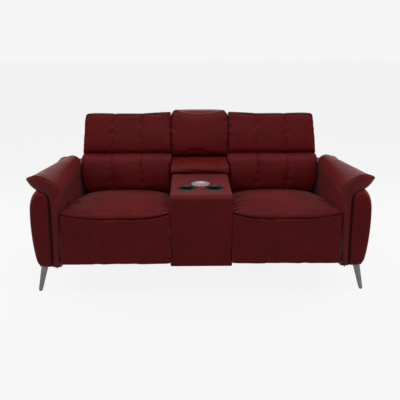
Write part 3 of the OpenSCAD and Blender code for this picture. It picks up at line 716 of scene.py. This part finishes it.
def head_outline(v):
    top = HEAD_Z - 11 * (1 - v * v) - 10 * max(0.0, v) ** 2
    return [[640, 714], [612, HEAD_LOW], [590, HEAD_LOW + 1], [583, 730], [589, 790], [603, 850], [622, 915],
            [632, top - 4], [640, top], [668, top + 3], [699, top - 16], [706, 860], [706, 714]]


head = Cushion("right_headrest_cover", head_outline, (706, 830), lambda d, h: CONSOLE_HALF + 8.5, head_edge,
               ends=0.95, reach=15, seams=THIRDS, sink=2.6, seed=11.0)
head.finish(pressure=1.6, cap=0.004)
dress(head.obj, "right_headrest", ["right_headrest_cushion"])
seam_rows(head, "right_headrest_stitches", "right_headrest", 4, 770, 940)


def front_rim(cushion, inset, low):
    """A line up one side of a cushion's face, across its top edge and down its other side."""
    grid, at = cushion.grid(), np.array(cushion.at)
    left, right = int(np.argmin(np.abs(at - inset))), int(np.argmin(np.abs(cushion.full - inset - at)))

    def edge(i):
        """Index of the point where the face turns into the top, at station i."""
        ring = grid[i]
        return int(np.argmax(ring[:, 2] * 0.82 - ring[:, 1] * 0.58))

    def side(i):
        ring, last = grid[i], edge(i)
        face = [j for j in range(len(ring)) if low * MM < ring[j, 2] < ring[last, 2] - 0.004
                and ring[j, 1] <= ring[last, 1] + 0.004]
        return sorted((ring[j] for j in face), key=lambda p: p[2])

    across = [grid[i][edge(i)] for i in range(left, right + 1)]
    return np.array(side(left) + across + side(right)[::-1])


# Piping round the headrest's face, in the darker copy of the leather: painted shade for the dark line along
# that edge
head_welt = tube("right_headrest_welt", front_rim(head, 4, HEAD_LOW + 45), 0.0034, leather_painted_shade)
dress(head_welt, "right_headrest")


# ---- Middle ----

def bolster_outline(v):
    low = DECK_Z + 0.4
    return [[517, low], [502, low + 3], [501, low + 16], [513, low + 42], [543, low + 68], [590, low + 88],
            [641, low + 95], [641, low]]


def bolster_edge(depth, height):
    """Half width: the bolster swells over the inner sides of the lumbar cushions."""
    return CONSOLE_HALF + 8 * ease((660 - height) / 30) * ease((640 - depth) / 60)


bolster = Cushion("bolster_cover", bolster_outline, (600, DECK_Z), lambda d, h: -bolster_edge(d, h),
                  bolster_edge, ends=0.95, reach=14, crown=0.01, seed=13.0)
bolster.finish(pressure=2.0, cap=0.004)
dress(bolster.obj, "base", ["center_bolster"], both=False)


def middle_outline(v):
    """Its top rises towards both corners, the left one most, and rounds off there."""
    hump = (18 if v < 0 else 15) * min(1.0, abs(v) / 0.78) ** 2 - 24 * max(0.0, (abs(v) - 0.8) / 0.2) ** 2
    return [[640, 700], [612, 690], [590, 692], [584, 720], [588, 800], [612, 896], [634, 954 + hump],
            [668, 963 + hump], [710, 946 + hump], [723, 860], [723, 700]]


middle = Cushion("middle_head_cover", middle_outline, (723, 830), lambda d, h: -CONSOLE_HALF - 5.5,
                 lambda d, h: CONSOLE_HALF + 5.5, ends=0.93, reach=26, crown=0.01, seed=17.0, wrinkle=1.6)
middle.finish(pressure=2.0, cap=0.005)
dress(middle.obj, "base", ["center_head_cushion"], both=False)


# ---- Arms ----

ARM_STEM_TOP = 597
PILLOW_D = 588                  # depth of the pillow's back end
PILLOW_ROUND = 50               # length over which that end is rounded
FLARE = 126                     # how far the pillow's tip flares out over the front strip
TIP_BACK = 46                   # how far that tip stands back from the arm's front
# Outline of an arm's head at its front and at the pillow's back end: [x, height]
HEAD_FRONT = [[816, 590], [803, 604], [801, 632], [820, 660], [850, 684], [889, 700], [930, 708],
              [972, 698], [1003, 681], [991, 662], [976, 642], [952, 624], [925, 612], [896, 604], [876, 596]]
HEAD_BACK = [[763, 596], [760, 612], [760, 644], [761, 678], [772, 698], [790, 707], [812, 707],
             [840, 695], [872, 668], [886, 650], [887, 636], [884, 622], [881, 610], [879, 602], [877, 596]]
# Waves in the pillow: (features per metre, seed, height in metres)
ARM_WAVES = ((11, 3.0, 0.0022), (40, 9.0, 0.0005))


def arm_ring(depth, count=132):
    """Outline of an arm at a depth: its upright stem and the pillow's flared head on top."""
    t = min(1.0, max(0.0, depth / PILLOW_D))
    inside = float(arm_edge(depth))
    head = (1 - t) * np.array(HEAD_FRONT, float) + t * np.array(HEAD_BACK, float)
    if depth > PILLOW_D - PILLOW_ROUND:
        drop = round_share(PILLOW_D - min(depth, PILLOW_D), PILLOW_ROUND)
        head[:, 1] = ARM_STEM_TOP + (head[:, 1] - ARM_STEM_TOP) * max(0.03, drop)
    behind = ease((depth - 4) / 16)
    out = STRIP_OUT - 12 + 15 * behind
    low = ARM_LOW + 7 - 6.5 * behind
    stem_in = [[out - 2, low], [inside + 2, low], [inside, low + 7], [inside, 300], [inside, 450],
               [inside + 1, 540]]
    stem_out = [[out, 570], [out, 450], [out, 300], [out, low + 7]]
    return smooth_curve(stem_in + head.tolist() + stem_out, count, 3)


ARM_REAR = REAR_D - 16          # the padded rear face stands out behind this


def sheared(x, depth):
    """Depth of a point of the arm: its flared tip stands back from the front."""
    out = np.clip((np.asarray(x, float) - STRIP_OUT) / FLARE, 0, 1)
    return depth + TIP_BACK * out * max(0.0, 1 - depth / PILLOW_D)


def arm_skin():
    """The arm's sides, top and underside, with its first and its last outline."""
    rings = []
    for d in [0, 2, 5, 10, 18, *range(30, 530, 16), *range(538, 592, 5), *range(600, 916, 24), ARM_REAR]:
        ring = arm_ring(d)
        rings.append(np.column_stack([ring[:, 0], sheared(ring[:, 0], d), ring[:, 1]]))
    faces = ring_faces(len(rings), len(rings[0]))
    obj = make_object("right_arm_skin", to_row(rings).reshape(-1, 3), faces, arm_leather)
    return obj, rings[0], rings[-1]


def filled_face(name, ring, depth_of, dome, step=9, side=-1):
    """A padded panel in a closed [x, height] outline, which stands proud by dome(distance from the rim)."""
    edge = np.asarray(ring, float)
    low, high = edge.min(axis=0), edge.max(axis=0)
    segment = np.roll(edge, -1, axis=0) - edge

    def distance(p):
        t = np.clip(((p - edge) * segment).sum(axis=1) / ((segment ** 2).sum(axis=1) + 1e-12), 0, 1)
        return float(np.min(np.linalg.norm(edge + t[:, None] * segment - p, axis=1)))

    def inside(p):
        a, b = edge, np.roll(edge, -1, axis=0)
        cross = (a[:, 1] > p[1]) != (b[:, 1] > p[1])
        at = a[:, 0] + (p[1] - a[:, 1]) * (b[:, 0] - a[:, 0]) / (b[:, 1] - a[:, 1] + 1e-12)
        return int(np.sum(cross & (p[0] < at))) % 2 == 1

    inner = []
    for x in np.arange(low[0], high[0], step):
        for k, z in enumerate(np.arange(low[1], high[1], step)):
            p = np.array([x + (step / 2 if k % 2 else 0), z])
            if inside(p) and distance(p) > step * 0.55:
                inner.append(p)
    flat = [Vector(p) for p in edge] + [Vector(p) for p in inner]
    count = len(edge)
    made, _, faces, *_ = delaunay_2d_cdt(flat, [(i, (i + 1) % count) for i in range(count)],
                                         [list(range(count))], 1, 1e-6)
    points = [[v[0], depth_of(v[0]) + side * dome(distance(np.array(v))), v[1]] for v in made]
    return make_object(name, to_row(points), [tuple(f) for f in faces], arm_leather)


skin, front_ring, rear_ring = arm_skin()
arm_face = filled_face("right_arm_face", front_ring[:, [0, 2]], lambda x: float(sheared(x, 0)),
                       lambda d: 9 * (1 - math.exp(-d / 8)) + 0.07 * d)
rear_face = filled_face("right_arm_rear_face", rear_ring[:, [0, 2]], lambda x: ARM_REAR,
                        lambda d: 8 * (1 - math.exp(-d / 8)), side=1, step=14)
with bpy.context.temp_override(active_object=skin, selected_editable_objects=[skin, arm_face, rear_face]):
    bpy.ops.object.join()
mesh = bmesh.new()
mesh.from_mesh(skin.data)
bmesh.ops.remove_doubles(mesh, verts=mesh.verts, dist=0.00005)
mesh.to_mesh(skin.data)
mesh.free()
skin.data.shade_smooth()
face_out(skin)
co = coordinates(skin)
# The pillow's waves fade out towards the front face
pillow = np.clip((co[:, 1] - FRONT) / 0.02, 0, 1) * (co[:, 2] > 0.62)
co[:, 2] += sum(rough(co, scale, seed) * height for scale, seed, height in ARM_WAVES) * pillow
# Small folds gather at the inner end of the front face's head
gathered = np.exp(-np.linalg.norm(co - np.array([0.806, FRONT, 0.625]), axis=1) / 0.035)
co[:, 1] += np.sin(co[:, 2] * 420 + co[:, 0] * 160) * 0.0016 * gathered
set_coordinates(skin, co)
subdivide(skin)
dress(skin, "base", ["right_arm_inner_panel", "right_arm_pillow"])

start, stop = (int(np.argmin(np.linalg.norm(front_ring[:, [0, 2]] - np.array(end), axis=1)))
               for end in (HEAD_FRONT[1], HEAD_FRONT[8]))
ridge = front_ring[start:stop + 2] + np.array([0, -0.6, 0.4])
welt = tube("right_arm_welt", to_row(ridge), 0.0018, leather)
dress(welt, "base")

LEAF_IN = OUTER_IN - 8          # the outer panel starts inside the arm's skin
# Outline of the outer panel: [x from there, height]
LEAF = [[0, 580], [0, 606], [24, 620], [76, 614], [108, 556], [114, 460], [109, 350], [94, 215],
        [80, 163], [52, 149], [6, 149], [0, 150], [0, 170]]


def outer_panel():
    """The puffy leaf-shaped panel on an arm's outside, from its front end to its rear."""
    core = np.array([LEAF_IN + 6, 380.0])
    ring = smooth_curve([[LEAF_IN + x, z] for x, z in LEAF], 84)
    reach, ahead, ends = 50, 6, 0.87
    length = REAR_D + ahead
    steps = end_steps(reach, 8)
    rings = []
    for a in [*steps, *np.arange(reach, length - reach, 22), *(length - d for d in steps[::-1])]:
        q = core + (ends + (1 - ends) * round_share(min(a, length - a), reach)) * (ring - core)
        q[:, 0] = np.maximum(q[:, 0], LEAF_IN)
        rings.append(np.column_stack([q[:, 0], np.full(len(q), a - ahead), q[:, 1]]))
    return lofted("right_arm_outer_cover", to_row(capped(rings, 6, 7, axis=1)), leather)


outer = outer_panel()
co = coordinates(outer)
co[:, 0] += rough(co, 8, 21.0) * 0.002 * (co[:, 0] > (OUTER_IN + 40) * MM)
set_coordinates(outer, co)
subdivide(outer)
dress(outer, "base", ["right_arm_outer_panel"])


# ---- Console ----

def console_cover():
    """Leather box of the console, with a rolled front edge and softened sides."""
    base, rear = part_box("console_shell")[0].z / MM, (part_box("console_shell")[1].y - FRONT) / MM
    roll, soft = 30, 6.0
    ring = [[0, base + k] for k in (0, 3, 8, 40)]
    ring += [[0, z] for z in np.linspace(base + 80, DECK_Z - roll - 6, 16)]
    ring += [[roll - roll * math.cos(a), DECK_Z - roll + roll * math.sin(a)]
             for a in np.linspace(0, math.pi / 2, 9)]
    ring += [[y, DECK_Z] for y in np.linspace(roll + 6, rear - 1, 22)]
    ring += [[rear, DECK_Z - 8], [rear, 400], [rear, base + 3], [rear - 3, base], [250, base], [4, base]]
    ring, middle, wide = np.array(ring), np.array([250.0, 370.0]), 2 * CONSOLE_HALF
    rim = [(0, 0.0), (1.2, 2.6), (3.4, 4.8), (7, soft)]     # (distance from a side, how full it is there)
    full = [(x, soft) for x in np.linspace(14, wide - 14, 34)]
    rings = []
    for d, grow in rim + full + [(wide - d, grow) for d, grow in rim[::-1]]:
        q = middle + (ring - middle) * (1 - (soft - grow) / 250)
        share = d / CONSOLE_HALF - 1
        rings.append(np.column_stack([[share * console_side(p[0]) for p in q], q]))
    return lofted("console_cover", to_row(rings), leather)


def cut(obj, centre, radius, depth):
    """Drills an upright hole into a closed mesh."""
    bpy.ops.mesh.primitive_cylinder_add(vertices=96, radius=radius, depth=depth, location=centre)
    drill = bpy.context.active_object
    hole = obj.modifiers.new("hole", "BOOLEAN")
    hole.operation, hole.object, hole.solver = "DIFFERENCE", drill, "EXACT"
    bpy.context.view_layer.objects.active = obj
    bpy.ops.object.modifier_apply(modifier="hole")
    bpy.data.objects.remove(drill)


console = console_cover()
# Each hole is a little narrower than the rim of what stands in it
for node, trim in (("left_cup_holder", 10), ("right_cup_holder", 10), ("round_tray", 5)):
    low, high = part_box(node)
    cut(console, ((low.x + high.x) / 2, (low.y + high.y) / 2, high.z - 0.05),
        (high.x - low.x) / 2 - trim * MM, 0.17)
console.data.shade_smooth()
console.data.set_sharp_from_angle(angle=math.radians(40))
dress(console, "base", ["console_shell", "console_deck"], both=False)

# A welt along the deck where the bolster meets it, in the darker leather: painted shade for the crease there
deck_line = [[x, 508, DECK_Z + 0.8] for x in np.linspace(4 - CONSOLE_HALF, CONSOLE_HALF - 4, 40)]
dress(tube("deck_welt", to_row(deck_line), 0.0026, leather_painted_shade), "base", both=False)


# ---- Rear covers ----

def soft_box(name, outline, x_from, x_to, puffed=4.0, radius=10.0, count=84):
    """An upholstered shell from a [depth, height] outline, with rounded side edges and a slight swell."""
    ring = smooth_curve(outline, count, 3)
    middle = ring.mean(axis=0)
    size = np.linalg.norm(ring - middle, axis=1).mean()
    wide, steps = x_to - x_from, end_steps(radius, 5) + [radius]
    rings = []
    for a in [*steps, *np.linspace(radius + 12, wide - radius - 12, 24), *(wide - d for d in steps[::-1])]:
        inset = radius * (1 - round_share(min(a, wide - a), radius))
        v = 2 * a / wide - 1
        grow = 1 - (inset + puffed * v ** 4) / size
        rings.append(np.column_stack([np.full(len(ring), x_from + a), middle + (ring - middle) * grow]))
    obj = lofted(name, to_row(capped(rings, 4, 2.5)), leather)
    subdivide(obj)
    return obj


SHELL_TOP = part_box("right_back_shell")[1].z / MM
shell = soft_box("right_back_shell_cover",
                 [[707, 250], [740, 240], [880, 232], [902, 262], [927, 500], [943, 720], [930, 850],
                  [900, 908], [850, SHELL_TOP + 3], [714, SHELL_TOP + 2], [714, 712], [707, 690]],
                 CONSOLE_HALF + 4.5, BACK_OUT - 5)
dress(shell, "right_back", ["right_back_shell"])

plinth = soft_box("middle_back_cover",
                  [[641.5, 160], [885, 158], [903, 190], [921, 480], [942, 720], [930, 880], [884, 948],
                   [800, 953], [724, 951], [724, 690], [642, 684]],
                  1 - CONSOLE_HALF, CONSOLE_HALF - 1)
dress(plinth, "base", ["center_back_frame"], both=False)
foot = soft_box("middle_plinth_cover",
                [[506, 160], [506, DECK_Z - 1], [560, DECK_Z], [641, DECK_Z - 1], [641, 160], [560, 160]],
                -CONSOLE_HALF, CONSOLE_HALF, puffed=0.0, radius=3)
dress(foot, "base", both=False)


# ---- Camera, floor and light ----

CAMERA = (-0.076, -4.316, 1.699)
LOOK = (0.0169, 0.9593, -0.2822)
PALE = 0.913                    # grey of the background
FLOOR_GLOW = 0.94
FLOOR_FLAT = 0.93               # share of the floor's look that takes no shadow
AMBIENT = 0.24                  # strength of the even light from all around

camera = bpy.data.objects.new("camera", bpy.data.cameras.new("camera"))
scene.collection.objects.link(camera)
camera.location = CAMERA
camera.rotation_mode = "QUATERNION"
camera.rotation_quaternion = Vector(LOOK).to_track_quat("-Z", "Y")
camera.data.sensor_width = 36
camera.data.lens = 63.38
camera.data.clip_end = 60
scene.camera = camera
scene.view_settings.view_transform = "Standard"


def seen(tree):
    """1 for camera, mirror and glass rays, which see the pale background, and 0 for light itself."""
    path = tree.nodes.new("ShaderNodeLightPath")
    total = path.outputs["Is Camera Ray"]
    for ray in ("Is Glossy Ray", "Is Transmission Ray"):
        add = tree.nodes.new("ShaderNodeMath")
        add.operation, add.use_clamp = "ADD", True
        tree.links.new(total, add.inputs[0])
        tree.links.new(path.outputs[ray], add.inputs[1])
        total = add.outputs[0]
    return total


pale_floor, tree, shader = new_material("pale_floor")
shader.inputs["Base Color"].default_value = (0.5, 0.5, 0.5, 1)
shader.inputs["Roughness"].default_value = 0.9
glow = tree.nodes.new("ShaderNodeEmission")
glow.inputs["Color"].default_value = (FLOOR_GLOW, FLOOR_GLOW, FLOOR_GLOW, 1)
share = tree.nodes.new("ShaderNodeMath")
share.operation = "MULTIPLY"
share.inputs[1].default_value = FLOOR_FLAT
mix = tree.nodes.new("ShaderNodeMixShader")
tree.links.new(seen(tree), share.inputs[0])
tree.links.new(share.outputs[0], mix.inputs["Fac"])
tree.links.new(shader.outputs[0], mix.inputs[1])
tree.links.new(glow.outputs[0], mix.inputs[2])
tree.links.new(mix.outputs[0], tree.nodes["Material Output"].inputs["Surface"])
corners = [(-14, -14, 0), (14, -14, 0), (14, 14, 0), (-14, 14, 0)]
make_object("floor", corners, [(0, 1, 2, 3)], pale_floor)

world = bpy.data.worlds.new("studio")
scene.world = world
world.use_nodes = True
tree = world.node_tree
back = tree.nodes["Background"]
back.inputs["Color"].default_value = (1, 1, 1, 1)
back.inputs["Strength"].default_value = AMBIENT
plain = tree.nodes.new("ShaderNodeBackground")
plain.inputs["Color"].default_value = (PALE, PALE, PALE, 1)
mix = tree.nodes.new("ShaderNodeMixShader")
tree.links.new(seen(tree), mix.inputs["Fac"])
tree.links.new(back.outputs[0], mix.inputs[1])
tree.links.new(plain.outputs[0], mix.inputs[2])
tree.links.new(mix.outputs[0], tree.nodes["World Output"].inputs["Surface"])


def area(name, place, aim, size, power):
    lamp = bpy.data.lights.new(name, "AREA")
    lamp.shape = "RECTANGLE"
    lamp.size, lamp.size_y = size
    lamp.energy = power
    obj = bpy.data.objects.new(name, lamp)
    scene.collection.objects.link(obj)
    obj.location = place
    obj.rotation_mode = "QUATERNION"
    obj.rotation_quaternion = (Vector(aim) - Vector(place)).to_track_quat("-Z", "Y")
    return obj


area("overhead", (0, -1.3, 3.3), (0, 0.1, 0.6), (3.6, 1.6), 84)
area("front_fill", (-0.6, -4.2, 2.6), (0, 0, 0.5), (3.0, 1.6), 28)
for name, side in (("left_side", -1), ("right_side", 1)):
    # Not in reflections, where a lamp this low would whiten the cushions' tops
    area(name, (side * 2.8, 0.4, 1.55), (side * 0.95, -0.2, 0.65), (1.8, 1.5), 108).visible_glossy = False
